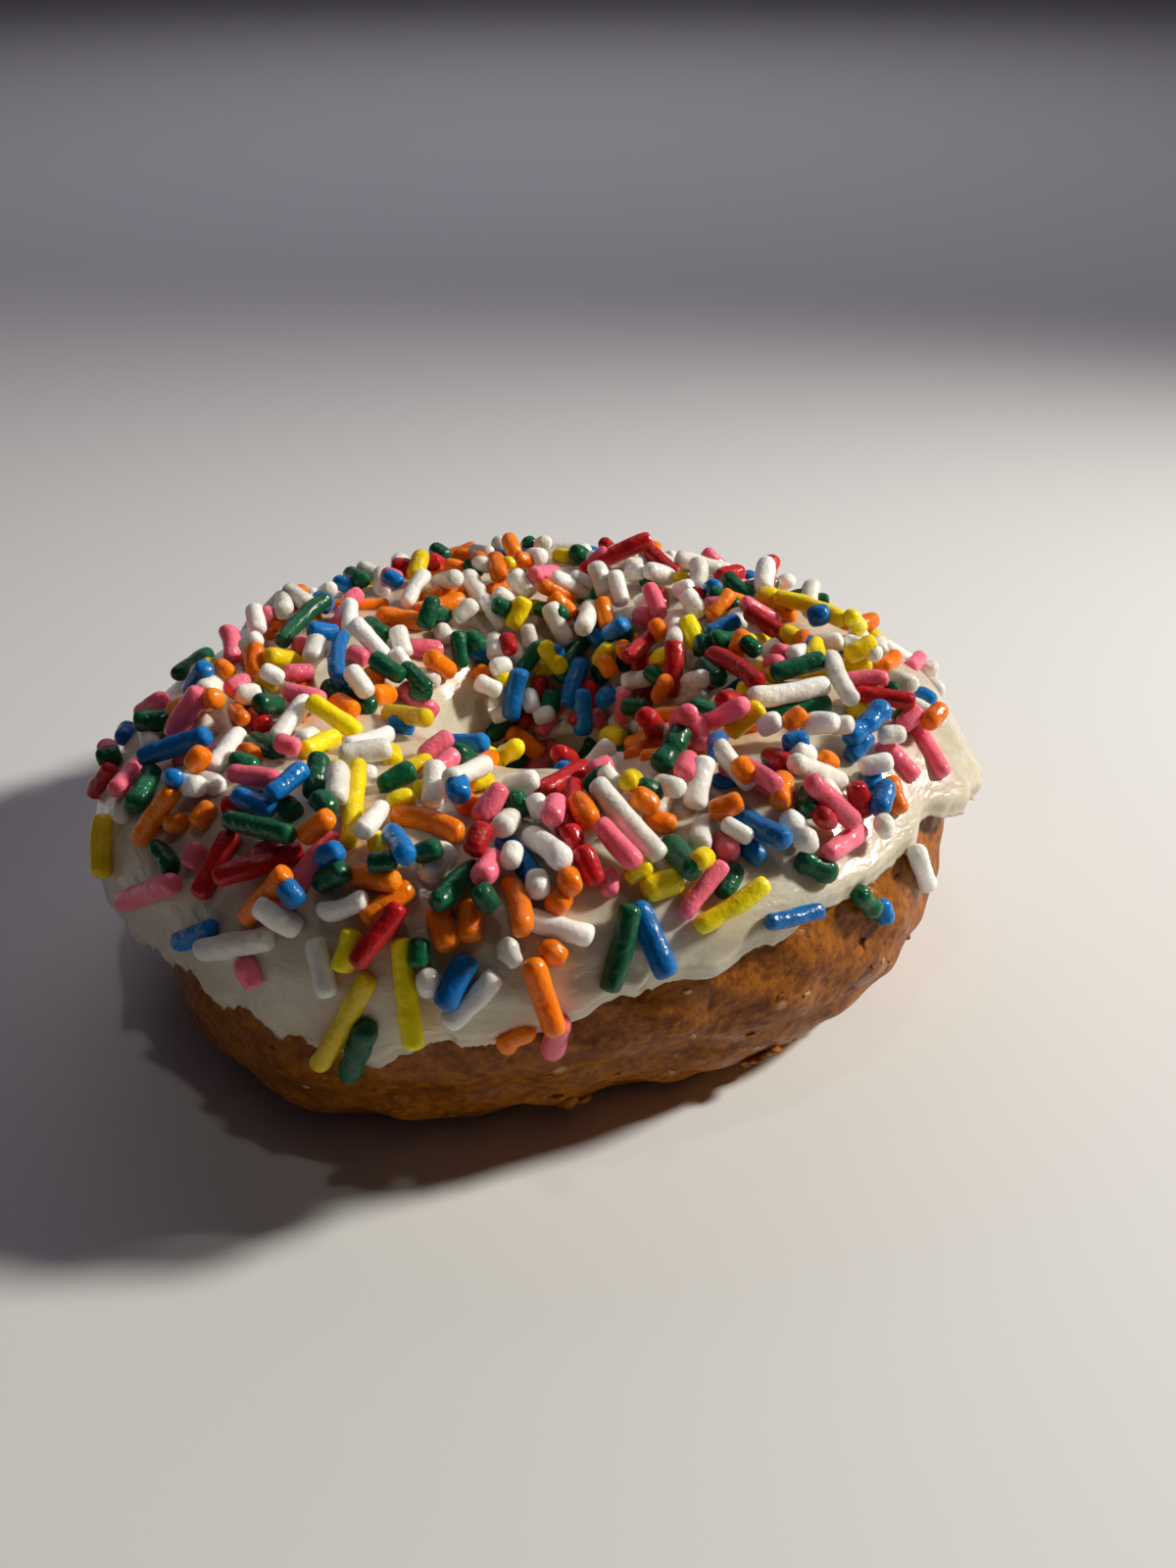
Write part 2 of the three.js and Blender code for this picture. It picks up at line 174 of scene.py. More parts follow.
# Sprinkles that the photograph shows one by one, by region: colour, then the pixels of both ends, lowest ones
# first. One whose ends are close together is seen end on, and a lumpy one is of drops stuck together.
SHOWN = """
front left: yellow 104 832 106 895, green 157 862 178 889, pink 204 863 194 883, red 238 848 204 918,
pink 262 874 284 862, orange 305 893 235 937, pink 119 922 183 900, blue 298 912 307 928,
white 262 921 304 952, red 309 862 226 907, blue 182 963 218 945, white 203 970 276 957,
lumpy pink 246 977 261 1008, white 320 956 337 1018, yellow 362 948 347 992, lumpy green 377 1044 355 1100,
yellow 376 995 325 1091, yellow 407 958 424 1070, orange 421 903 371 942, orange 354 887 410 905,
white 322 930 378 919, green 318 899 360 891, red 410 923 361 986, green 428 958 427 987,
orange 445 925 459 970, lumpy white 442 988 432 1018, white 508 996 455 1045, blue 478 975 452 1029,
orange 480 918 478 962, green 490 876 442 931, pink 508 863 488 907, green 485 906 504 926,
lumpy white 512 958 530 986, white 534 934 606 957, orange 518 886 536 961, lumpy orange 557 969 571 975,
pink 572 1040 562 1077, orange 542 980 568 1056, lumpy orange 544 1049 511 1070, blue 650 919 680 998,
green 641 921 625 1014, orange 575 912 566 926, orange 580 886 583 912, white 548 892 550 912,
pink 624 888 621 914, yellow 655 908 696 897, yellow 640 893 662 885;
right: green 752 883 735 916, pink 738 881 697 934, yellow 713 949 782 899, blue 783 942 838 929,
blue 898 921 903 940, lumpy green 878 907 894 933, white 931 867 949 906, lumpy green 813 876 852 894,
pink 884 845 838 874, green 684 847 706 903, yellow 712 880 721 872, pink 735 850 745 877,
white 724 832 712 868, blue 757 860 778 879, white 737 838 768 856, white 722 777 772 806,
orange 755 782 765 790, red 784 760 804 790, pink 756 760 793 817, blue 747 802 804 873,
orange 724 823 759 822, white 717 782 704 832, white 797 791 871 786, orange 797 816 798 824,
white 798 835 823 845, lumpy white 811 855 831 863, green 822 822 822 832, red 832 832 852 836,
white 842 800 856 808, red 865 800 890 832, pink 815 803 886 835, blue 888 783 890 812,
orange 906 793 918 831, blue 907 798 897 829, lumpy white 893 838 906 850, white 877 776 910 782,
white 898 748 923 752, blue 890 752 867 771, lumpy blue 863 754 906 726, yellow 875 722 875 732,
pink 922 735 942 722, red 873 702 932 722, blue 935 706 951 719, orange 963 721 948 739,
white 848 737 867 746, white 820 735 853 752, orange 801 742 818 737, white 805 769 833 768,
blue 802 757 823 757, orange 842 766 859 765, orange 752 739 778 738, white 774 742 796 744,
yellow 738 736 782 727, pink 712 738 768 750, green 780 728 848 722, pink 713 756 717 762,
blue 732 763 735 773, pink 703 768 697 793, lumpy green 665 778 703 751, pink 686 716 704 746;
hole: red 602 694 588 742, blue 592 668 580 724, blue 608 718 610 766, red 590 742 560 790,
yellow 643 754 643 763, red 659 718 672 768, orange 521 744 525 752, yellow 504 758 526 782,
red 552 808 600 783, pink 622 780 603 786, green 594 796 625 790, white 612 798 638 811,
white 512 796 551 803, yellow 647 778 640 812, red 587 797 575 850, orange 588 812 604 841,
white 603 802 677 871, pink 609 839 652 881, red 576 846 591 867, red 588 866 613 900,
orange 655 834 690 843, orange 645 819 669 822, green 655 806 670 804, white 672 789 692 816,
green 523 816 535 830, white 524 823 509 856, pink 516 806 484 834, white 542 816 557 832,
pink 568 812 563 840, white 538 838 578 892, white 523 864 520 881, red 496 842 481 871,
white 458 863 434 899;
left: green 330 700 382 724, orange 340 715 363 728, pink 290 704 331 716, white 318 718 276 748,
yellow 313 732 374 742, white 302 750 320 742, yellow 345 750 309 768, blue 394 738 423 745,
yellow 397 716 436 744, pink 407 700 445 732, green 422 700 438 708, white 352 758 402 744,
white 345 771 400 764, pink 426 763 463 757, green 464 768 484 765, pink 429 793 468 775,
yellow 397 788 441 776, green 384 797 426 791, yellow 424 808 451 801, yellow 398 819 420 812,
white 436 816 446 820, yellow 476 805 500 790, white 498 773 456 803, blue 461 808 467 830,
yellow 384 856 392 870, orange 402 826 474 850, green 376 880 402 878, green 424 868 448 868,
blue 393 831 419 891, white 388 811 371 861, yellow 341 782 352 808, yellow 369 778 353 860,
white 341 812 346 818, green 322 815 338 830, green 328 772 317 812, green 291 822 300 830,
orange 345 841 301 856, blue 316 873 348 868, green 225 832 300 858, blue 239 812 279 825,
blue 310 779 273 815, pink 233 790 285 795, orange 246 768 262 774, green 231 776 257 779,
green 252 748 281 762, white 246 747 213 784, pink 278 764 304 766, red 260 728 271 743,
green 286 709 262 728, blue 250 717 269 711, orange 236 714 250 743, white 240 714 266 704;
left edge: white 128 812 124 838, white 206 795 225 804, white 178 799 207 806, orange 216 818 200 844,
orange 172 841 189 838, orange 187 809 131 855, blue 166 787 180 798, green 157 782 138 828,
orange 194 778 208 771, blue 143 776 214 751, white 150 760 159 762, red 87 807 121 786,
green 111 783 124 767, pink 101 770 120 764, pink 139 758 122 812, white 204 735 213 748,
green 140 747 176 724, pink 142 729 170 713, orange 171 715 228 719, pink 161 743 216 712,
blue 121 737 131 758;
back left: green 212 664 184 694, yellow 198 687 220 681, blue 183 698 220 690, orange 224 680 234 686,
pink 236 670 238 674, orange 250 666 262 678, orange 255 686 263 692, yellow 226 697 244 684,
pink 231 705 252 690, yellow 264 696 280 695, white 271 688 284 688, yellow 270 682 306 668,
pink 289 690 320 684, white 314 674 322 678, pink 301 654 310 662, white 324 652 317 672,
orange 281 638 304 621, white 284 623 293 624, white 291 608 318 614, blue 322 613 336 616,
white 325 600 338 612, green 284 654 334 614, pink 262 642 276 640, pink 265 632 276 630,
white 260 652 268 648, white 244 656 268 654, blue 344 598 357 597, green 356 590 372 598,
white 366 590 394 590, pink 344 632 352 618, pink 352 610 368 606, green 374 635 392 652,
white 357 616 358 644, white 354 642 400 664, pink 358 658 378 668, blue 314 647 346 641,
blue 347 648 347 696, white 354 690 380 707, orange 374 688 388 696, orange 382 706 402 702;
back: white 386 600 394 606, pink 392 592 408 586, blue 396 598 410 598, red 404 580 416 578,
white 402 574 412 576, yellow 418 586 436 568, red 434 562 448 561, green 444 571 456 572,
orange 428 612 474 604, orange 424 622 474 612, white 411 614 438 588, white 446 578 466 606,
orange 457 578 470 580, orange 464 562 480 568, white 482 562 500 568, green 475 577 492 584,
orange 484 574 500 578, white 488 586 500 588, orange 494 598 516 588, orange 505 566 510 590,
yellow 514 580 534 570, orange 516 556 530 566, orange 528 585 545 582, white 538 563 556 570,
white 519 592 546 606, pink 541 598 570 572, yellow 566 566 582 570, green 584 568 598 566,
orange 546 604 590 608, orange 560 612 588 626, green 543 620 576 642, white 476 587 496 618,
white 490 612 517 636, white 508 642 504 674, white 506 608 520 612, green 506 618 520 620,
yellow 522 640 537 612, orange 384 626 433 638, green 434 632 460 620, white 460 635 484 627,
green 430 640 436 648, white 446 640 456 656, pink 421 656 457 660, white 402 642 418 666,
white 400 668 416 676, green 380 668 412 694, green 413 676 438 707, white 432 688 443 698,
green 463 646 475 680, green 478 644 490 664, orange 430 676 469 680, red 516 646 522 668,
white 536 638 545 660, green 552 657 532 684, blue 564 660 566 676, white 576 648 579 656,
yellow 572 680 574 686, white 559 598 604 594, red 548 690 554 716, green 562 704 566 708,
white 540 702 542 728, white 548 735 563 725, white 504 734 520 724, orange 484 682 506 700,
yellow 506 696 523 685, white 502 682 520 678, white 482 694 502 712, blue 531 682 521 735;
back right: white 600 568 618 572, pink 604 568 622 564, white 624 562 636 566, orange 664 562 670 570,
red 590 581 669 572, green 656 589 682 576, white 580 592 606 590, white 610 597 638 592,
white 640 584 656 586, white 655 596 688 586, white 688 576 746 578, yellow 690 590 704 594,
white 706 594 716 598, red 733 590 756 584, green 736 594 771 606, blue 721 592 730 608,
green 718 612 756 612, red 700 612 716 606, white 690 602 702 604, red 676 604 672 620,
white 648 612 668 612, white 612 604 622 606, white 630 620 640 616, white 630 634 643 632,
orange 615 611 620 639, blue 608 652 614 658, blue 612 648 643 638, white 597 602 600 657,
pink 652 632 662 626, pink 670 626 676 630, red 666 626 646 688, orange 668 638 674 648,
white 684 618 690 668, yellow 697 630 714 660, white 700 620 722 636, pink 722 624 740 624,
orange 722 640 746 621, white 748 628 754 642, blue 719 648 754 631, green 712 668 720 652,
green 723 661 754 648, yellow 755 668 784 646, orange 748 674 764 658, green 760 672 774 676,
green 715 678 736 692, red 725 666 774 694, yellow 776 676 796 694, yellow 606 678 626 658,
orange 624 672 629 694, orange 632 656 640 670, white 635 698 662 690, green 660 684 674 694,
yellow 664 672 680 668, white 700 698 726 702, red 734 730 764 708, white 722 714 746 702,
red 698 657 672 708, orange 666 714 694 702, green 701 720 734 716, pink 624 738 646 704,
green 636 726 657 714, blue 612 716 626 708;
far right: red 778 594 788 598, white 776 602 784 604, green 790 602 822 618, yellow 776 610 788 612,
white 826 620 832 622, pink 832 622 848 628, yellow 792 622 862 646, pink 752 624 800 622,
red 757 634 838 656, blue 826 641 844 640, white 780 656 792 654, yellow 800 658 814 662,
pink 783 672 796 680, pink 790 672 808 660, white 806 682 826 666, blue 828 676 834 670,
yellow 836 674 840 680, yellow 864 642 884 636, white 866 646 894 676, white 894 664 902 668,
yellow 860 676 892 678, orange 900 680 914 672, white 914 684 928 706, green 908 700 916 704,
pink 862 688 908 696, green 786 698 842 684, white 764 712 846 698, orange 820 662 826 664,
white 846 662 868 718, white 826 658 862 660
"""


def smoothstep(value, low, high):
    """0 below low, 1 above high, and a smooth step between."""
    share = np.clip((value - low) / (high - low), 0, 1)
    return share * share * (3 - 2 * share)


def wave(angle, cycles, phase):
    """A sine wave with that many cycles a turn, for an angle in degrees and a phase in radians."""
    return np.sin(cycles * np.radians(angle) + phase)


def noise(points, size, seed):
    """Smooth random values from -1 to 1 over points, on a lattice of cells of that size."""
    scaled = np.asarray(points) / size + 19.7 * seed
    cell = np.floor(scaled).astype(np.int64)
    part = scaled - cell
    part = part * part * (3 - 2 * part)
    total = 0
    for corner in itertools.product((0, 1), repeat=3):
        key = (cell + corner) @ np.array([73856093, 19349663, 83492791])
        key = (key ^ (key >> 13)) * 1274126177 & 0x7FFFFFFF
        key = (key ^ (key >> 16)) * 668265263 & 0x7FFFFFFF
        weight = np.prod(np.where(corner, part, 1 - part), axis=-1)
        total = total + weight * ((key >> 7 & 0xFFFF) / 32767.5 - 1)
    return total


def towards(azimuth, middle, low, high):
    """1 near that middle azimuth and 0 far from it, with a smooth step between those cosines."""
    return smoothstep(np.cos(np.radians(azimuth - middle)), low, high)


def at_rim(azimuth, column):
    """A rim value, running smoothly from station to station."""
    degrees = np.mod(azimuth, 360)
    after = np.clip(np.searchsorted(RIM[:, 0], degrees, side="right"), 1, len(RIM) - 1)
    share = smoothstep(degrees, RIM[after - 1, 0], RIM[after, 0])
    return RIM[after - 1, column] * (1 - share) + RIM[after, column] * share


def tube_reach(section):
    """How far a plain tube reaches from its own middle."""
    sine, cosine = np.sin(np.radians(section)), np.cos(np.radians(section))
    height = np.where(sine > 0, TUBE_RISE, TUBE_DROP)
    squareness = np.where(sine > 0, TOP_SQUARENESS, BASE_SQUARENESS)
    across = (np.abs(cosine) / TUBE_HALF_WIDTH) ** squareness
    up = (np.abs(sine) / height) ** squareness
    return (across + up) ** (-1 / squareness)


def swollen(azimuth, section):
    """How far the side stands out past the plain tube."""
    outwards = np.maximum(0, np.cos(np.radians(section)))
    below = smoothstep(-section, 0, 30)
    return outwards * (at_rim(azimuth, SWELL) + below * at_rim(azimuth, BELLY))


def on_tube(azimuth, section, reach):
    """Points in millimetres, stopped by the table."""
    radius = RING_RADIUS + reach * np.cos(np.radians(section))
    x = AXIS[0] + radius * np.cos(np.radians(azimuth))
    y = AXIS[1] + radius * np.sin(np.radians(azimuth))
    z = np.maximum(0, TUBE_MIDDLE_HEIGHT + reach * np.sin(np.radians(section)))
    return np.stack(np.broadcast_arrays(x, y, z), -1)


def to_tube(points):
    """The azimuth, section and reach of points in millimetres."""
    across = points[..., :2] - AXIS
    out = np.hypot(across[..., 0], across[..., 1]) - RING_RADIUS
    up = points[..., 2] - TUBE_MIDDLE_HEIGHT
    azimuth = np.degrees(np.arctan2(across[..., 1], across[..., 0])) % 360
    section = np.degrees(np.arctan2(up, out))
    return azimuth, np.where(section < -120, section + 360, section), np.hypot(out, up)


def crust(azimuth, section):
    """The part's own shallow crease, lumps and crags."""
    side = np.maximum(0, np.cos(np.radians(section)))
    crease = -0.35 * np.exp(-(((section + 24) / 9) ** 2))
    s = np.radians(section)
    lumps = 0.5 * wave(azimuth, 5, 3 * s) + 0.4 * wave(azimuth, 9, 1.3 - 4 * s)
    crags = wave(azimuth, 23, 5 * s) * wave(section, 9, 4 * np.radians(azimuth))
    return side * crease + CRAG_DEPTH * (lumps + crags)


def dough_reach(azimuth, section):
    return tube_reach(section) + swollen(azimuth, section) + crust(azimuth, section)


def fried_reach(azimuth, section):
    """The dough's face with wrinkles, pits and the groove round its side, and how deep it is dented, which
    the crust darkens as painted shade.
    """
    reach = dough_reach(azimuth, section)
    points = on_tube(azimuth, section, reach)
    side = smoothstep(section, -80, -60) * (1 - smoothstep(section, 60, 90))
    wrinkled = smoothstep(noise(points, 9.0, 22), -0.1, 0.4)
    wrinkle = wrinkled * (0.06 * noise(points, 1.3, 23) + 0.04 * (1 - 2 * np.abs(noise(points, 0.9, 24))))
    pits = -0.16 * smoothstep(noise(points, 1.2, 25), 0.62, 0.9)
    groove = -0.42 * np.exp(-(((section + 22 + 5 * noise(points, 8.0, 26)) / 4.5) ** 2))
    groove = groove * (0.5 + 0.5 * noise(points, 6.0, 27))
    fine = 0.08 * noise(points, 3.1, 21) + 0.7 * wrinkle + pits + groove + 0.035 * noise(points, 0.5, 28)
    return reach + side * fine, np.maximum(0, -side * (0.4 * pits + groove))


def edge_section(azimuth):
    """Where the frosting ends outside: in fine teeth and wisps, and smoother at the right of the front."""
    tear = 0.6 * wave(azimuth, 13, 0.4) + 0.5 * wave(azimuth, 29, 2.1) + 0.4 * wave(azimuth, 37, 5)
    round_rim = on_tube(azimuth, 0.0, 14.0)
    teeth = 0.0
    for size, depth, seed in ((2.6, 2.6, 3), (1.3, 2.6, 4), (0.7, 2.0, 5)):
        teeth = teeth + depth * (0.35 - np.abs(noise(round_rim, size, seed)))
    wisp = np.maximum(0, noise(round_rim, 1.1, 6) - 0.45) * 14
    smooth, ragged = towards(azimuth, 315, 0.75, 0.95), towards(azimuth, 225, 0.7, 0.95)
    torn = (1 - 0.7 * smooth) * (0.8 + 0.6 * noise(round_rim, 5.5, 7)) * (1 + 0.6 * ragged)
    return at_rim(azimuth, EDGE) + EDGE_TEAR * tear - torn * (teeth + wisp)


def on_flap(azimuth, section):
    """1 in the middle of the smeared flap at the right, fading to 0 round it."""
    turned = (np.mod(azimuth + 180, 360) - 180 + 9) / 13
    return np.exp(-(turned**2) - ((section - 20) / 24) ** 2)


def coat_reach(azimuth, section):
    """The frosting's outer face, as the part has it."""
    edge = at_rim(azimuth, EDGE)
    s = np.radians(section)
    outside = LIP_THICKNESS + (COAT_THICKNESS - LIP_THICKNESS) * smoothstep(section, edge, edge + LIP_WIDTH)
    thickness = outside + (HOLE_COAT_THICKNESS - outside) * smoothstep(section, 120, 190)
    swirls = COAT_WAVE * (wave(azimuth, 4, 2 * s) + 0.6 * wave(azimuth, 11, 1 - 3 * s))
    fall = (HANG_FROM - section) / (HANG_FROM - edge)
    hang = at_rim(azimuth, OVERHANG) * smoothstep(fall, 0, 1)
    return tube_reach(section) + swollen(azimuth, section) + thickness + swirls + hang


def spread_reach(azimuth, section, edge=None):
    """The outer face with the spatula's marks: soft folds, rough ridges across the flap and a thin lip."""
    edge = at_rim(azimuth, EDGE) if edge is None else edge
    reach = coat_reach(azimuth, section)
    turn = np.radians(azimuth + 0.4 * section)
    folds = np.stack(np.broadcast_arrays(2.9 * np.cos(turn), 2.9 * np.sin(turn), 0.16 * section), -1)
    points = on_tube(azimuth, section, reach)
    soft, small = noise(points, 5.0, 9), noise(points, 1.7, 10)
    round_way, up_way = (np.mod(azimuth + 180, 360) - 180) * 0.66, section * 0.28
    along, across = (round_way + up_way) / 1.3, (round_way - up_way) / 5.0
    slant = np.stack(np.broadcast_arrays(along, across, 0 * azimuth), -1)
    rough = 0.40 * noise(slant, 1.3, 12) + 0.16 * (0.4 - np.abs(noise(slant, 0.6, 13)))
    thin = 1.0 * (1 - smoothstep(section, edge, edge + 6))
    marked = reach + 0.20 * noise(folds, 1.0, 8) + 0.20 * soft + 0.06 * small
    return marked + on_flap(azimuth, section) * rough - thin


def coated_reach(azimuth, section):
    """The outermost face: the frosting, and the dough below its torn edge."""
    edge = edge_section(azimuth)
    frosted = smoothstep(section, edge - 12, edge + 0.5)
    return spread_reach(azimuth, section) * frosted + dough_reach(azimuth, section) * (1 - frosted)


def new_object(name, points, faces, material, smooth=True):
    """A mesh object in metres from points in millimetres."""
    mesh = bpy.data.meshes.new(name)
    mesh.from_pydata((np.asarray(points).reshape(-1, 3) * MM).tolist(), [], faces)
    mesh.polygons.foreach_set("use_smooth", np.full(len(mesh.polygons), smooth))
    mesh.update()
    mesh.materials.append(material)
    thing = bpy.data.objects.new(name, mesh)
    bpy.context.scene.collection.objects.link(thing)
    return thing


def grid_faces(turns, count):
    """The faces of a skin that closes both round the ring and round its outline."""
    here = np.arange(turns)[:, None] * count
    there = (np.arange(turns)[:, None] + 1) % turns * count
    i = np.arange(count)[None]
    j = (i + 1) % count
    return np.stack([here + i, there + i, there + j, here + j], -1).reshape(-1, 4).tolist()


def put_values(thing, name, values):
    """Keeps one number for each vertex, for the material to read."""
    layer = thing.data.attributes.new(name, "FLOAT", "POINT")
    layer.data.foreach_set("value", np.ascontiguousarray(values, dtype=np.float32).ravel())


class Nodes:
    """Adds linked shader nodes with few words."""

    def __init__(self, tree):
        self.tree = tree

    def give(self, socket, value):
        """Links a socket to another one, or sets its value, where a colour comes without its alpha."""
        if isinstance(value, bpy.types.NodeSocket):
            self.tree.links.new(value, socket)
        else:
            socket.default_value = (*value, 1) if socket.type == "RGBA" else value

    def add(self, kind, settings=None, **inputs):
        node = self.tree.nodes.new(kind)
        for key, value in (settings or {}).items():
            setattr(node, key, value)
        for key, value in inputs.items():
            name = key.replace("_", " ")
            self.give(next(s for s in node.inputs if s.name == name and s.enabled), value)
        return node

    def noise(self, vector, scale, detail=3.0, distortion=0.0):
        return self.add(
            "ShaderNodeTexNoise", Vector=vector, Scale=scale, Detail=detail, Distortion=distortion
        ).outputs["Fac"]

    def math(self, operation, a, b=0.0):
        node = self.tree.nodes.new("ShaderNodeMath")
        node.operation = operation
        for socket, value in zip(node.inputs, (a, b)):
            self.give(socket, value)
        return node.outputs[0]

    def ramp(self, value, low, high, to_low=0.0, to_high=1.0):
        return self.add(
            "ShaderNodeMapRange",
            {"interpolation_type": "SMOOTHSTEP"},
            Value=value,
            From_Min=low,
            From_Max=high,
            To_Min=to_low,
            To_Max=to_high,
        ).outputs[0]

    def mix(self, share, a, b):
        node = self.tree.nodes.new("ShaderNodeMix")
        node.data_type = "RGBA"
        sockets = [node.inputs[0], *[s for s in node.inputs if s.type == "RGBA"]]
        for socket, value in zip(sockets, (share, a, b)):
            self.give(socket, value)
        return next(s for s in node.outputs if s.type == "RGBA")

    def finish(self, colour, roughness, height):
        """Gives a group its three results, and returns its tree."""
        self.add("NodeGroupOutput", Color=colour, Roughness=roughness, Height=height)
        return self.tree


COLOUR, NUMBER = "NodeSocketColor", "NodeSocketFloat"


def new_group(name, *colours):
    """The nodes of a shader group that is given those colours, and makes a colour, roughness and height."""
    tree = bpy.data.node_groups.new(name, "ShaderNodeTree")
    for socket in colours:
        tree.interface.new_socket(socket, in_out="INPUT", socket_type=COLOUR)
    for socket, kind in (("Color", COLOUR), ("Roughness", NUMBER), ("Height", NUMBER)):
        tree.interface.new_socket(socket, in_out="OUTPUT", socket_type=kind)
    return Nodes(tree)


def crust_group():
    """Fried crust: brown with painted shade darkening its dents, golden low down, with pale flecks and oily
    spots.
    """
    group = bpy.data.node_groups.get("Fried Crust")
    if group:
        return group
    n = new_group("Fried Crust")
    place = n.add("ShaderNodeTexCoord").outputs["Object"]
    height = n.add("ShaderNodeSeparateXYZ", Vector=place).outputs["Z"]
    painted_shade_dent = n.add("ShaderNodeAttribute", {"attribute_name": "painted_shade_dent"}).outputs["Fac"]
    broad = n.noise(place, 150.0, 3)
    patches = n.noise(place, 420.0, 5)
    grain = n.noise(place, 1300.0, 5)
    both = n.math("ADD", n.math("MULTIPLY", patches, 0.4), n.math("MULTIPLY", grain, 0.6))
    brown = n.mix(n.ramp(both, 0.36, 0.64), (0.155, 0.037, 0.001), (0.36, 0.112, 0.002))
    golden = n.mix(n.ramp(grain, 0.3, 0.7), (0.30, 0.096, 0.005), (0.48, 0.180, 0.014))
    low = n.math("MULTIPLY", n.ramp(height, 0.0085, 0.001), n.ramp(broad, 0.38, 0.6))
    colour = n.mix(low, brown, golden)
    # Painted shade: the pits and the groove are mixed towards dark brown by how deep they are dented, as if
    # shade fell in them.
    colour = n.mix(n.ramp(painted_shade_dent, 0.05, 0.4, 0, 0.6), colour, (0.10, 0.028, 0.002))
    flecks = n.add("ShaderNodeTexVoronoi", {"feature": "F1"}, Vector=place, Scale=330.0, Randomness=1.0)
    rare = n.ramp(n.add("ShaderNodeSeparateColor", Color=flecks.outputs["Color"]).outputs[0], 0.86, 0.9)
    spot = n.math("MULTIPLY", n.ramp(flecks.outputs["Distance"], 0.26, 0.12), rare)
    colour = n.mix(n.math("MULTIPLY", spot, 0.7), colour, (0.55, 0.36, 0.17))
    oily = n.ramp(n.noise(place, 230.0, 4, 0.6), 0.5, 0.62)
    roughness = n.math("SUBTRACT", 0.6, n.math("MULTIPLY", oily, 0.27))
    drawn = n.add("ShaderNodeMapping", Vector=place)
    drawn.inputs["Scale"].default_value = (1.0, 1.0, 2.6)
    wrinkle = n.math("MULTIPLY", n.noise(drawn.outputs[0], 750.0, 5, 0.4), 0.6)
    relief = n.math("ADD", wrinkle, n.math("MULTIPLY", grain, 0.9))
    relief = n.math("ADD", relief, n.math("MULTIPLY", spot, 0.25))
    return n.finish(colour, roughness, relief)


def frosting_group():
    """Buttercream: warm white with faint mottling, and dye that bled from the sprinkles."""
    group = bpy.data.node_groups.get("Buttercream")
    if group:
        return group
    n = new_group("Buttercream")
    place = n.add("ShaderNodeTexCoord").outputs["Object"]
    mottle = n.noise(place, 260.0, 3)
    colour = n.mix(n.ramp(mottle, 0.35, 0.7), (0.60, 0.54, 0.41), (0.66, 0.60, 0.465))
    for dye, tint in (("pink_dye", (0.86, 0.42, 0.44)), ("orange_dye", (0.90, 0.50, 0.24))):
        amount = n.add("ShaderNodeAttribute", {"attribute_name": dye}).outputs["Fac"]
        colour = n.mix(amount, colour, tint)
    roughness = n.ramp(n.noise(place, 330.0, 4), 0.35, 0.7, 0.24, 0.44)
    drag = n.add("ShaderNodeMapping", Vector=place)
    drag.inputs["Scale"].default_value = (1.0, 1.0, 2.4)
    pores = n.math("MULTIPLY", n.noise(place, 2200.0, 2), 0.12)
    relief = n.math("ADD", n.noise(drag.outputs[0], 520.0, 4, 0.5), pores)
    return n.finish(colour, roughness, relief)


def sprinkle_group():
    """Pressed sugar: each rod a little lighter or darker, faintly mottled, with a waxy pitted face."""
    group = bpy.data.node_groups.get("Pressed Sugar")
    if group:
        return group
    n = new_group("Pressed Sugar", "Sugar")
    given = n.add("NodeGroupInput")
    place = n.add("ShaderNodeTexCoord").outputs["Object"]
    shade = n.add("ShaderNodeAttribute", {"attribute_name": "shade"}).outputs["Fac"]
    mottle = n.noise(place, 700.0, 3)
    value = n.math("ADD", n.ramp(shade, 0, 1, 0.8, 1.12), n.ramp(mottle, 0.3, 0.7, -0.08, 0.08))
    colour = n.add("ShaderNodeHueSaturation", Color=given.outputs["Sugar"], Value=value).outputs[0]
    roughness = n.ramp(n.noise(place, 1100.0, 3), 0.35, 0.7, 0.36, 0.55)
    relief = n.math("ADD", n.noise(place, 1500.0, 3), n.math("MULTIPLY", n.noise(place, 3600.0, 2), 0.3))
    return n.finish(colour, roughness, relief)


# What each material's shader is given besides its group, and the depth of its bump in millimetres.
CRUST_SHINE = {
    "Specular_IOR_Level": 0.12,
    "Coat_Weight": 0.16,
    "Coat_Roughness": 0.16,
    "Subsurface_Weight": 0.1,
    "Subsurface_Scale": MM,
}
FROSTING_BUMP = 0.15
FROSTING_SHINE = {
    "Subsurface_Weight": 0.5,
    "Subsurface_Radius": (1.0, 0.8, 0.6),
    "Subsurface_Scale": 2.8 * MM,
    "Coat_Weight": 0.3,
    "Coat_Roughness": 0.16,
}
SUGAR_BUMP = 0.16
SUGAR_SHINE = {
    "Specular_IOR_Level": 0.12,
    "Coat_Weight": 0.55,
    "Coat_Roughness": 0.07,
    "Subsurface_Weight": 0.6,
    "Subsurface_Radius": (1.0, 1.0, 1.0),
    "Subsurface_Scale": 1.3 * MM,
}
SUGAR_BIT_BUMP = 0.1
SUGAR_BIT_COLOUR = (0.50, 0.32, 0.15)


def new_material(name, group, bump, given=None, **settings):
    """A Principled material: colour, roughness and bump from a group, and constants on other sockets."""
    material = bpy.data.materials.new(name)
    material.use_nodes = True
    n = Nodes(material.node_tree)
    shader = material.node_tree.nodes["Principled BSDF"]
    look = n.add("ShaderNodeGroup", {"node_tree": group})
    for key, value in (given or {}).items():
        n.give(look.inputs[key], value)
    n.give(shader.inputs["Base Color"], look.outputs["Color"])
    n.give(shader.inputs["Roughness"], look.outputs["Roughness"])
    raised = n.add("ShaderNodeBump", Strength=1.0, Distance=bump * MM, Height=look.outputs["Height"])
    for facing in ("Normal", "Coat Normal"):
        n.give(shader.inputs[facing], raised.outputs["Normal"])
    for key, value in settings.items():
        n.give(shader.inputs[key.replace("_", " ")], value)
    return material


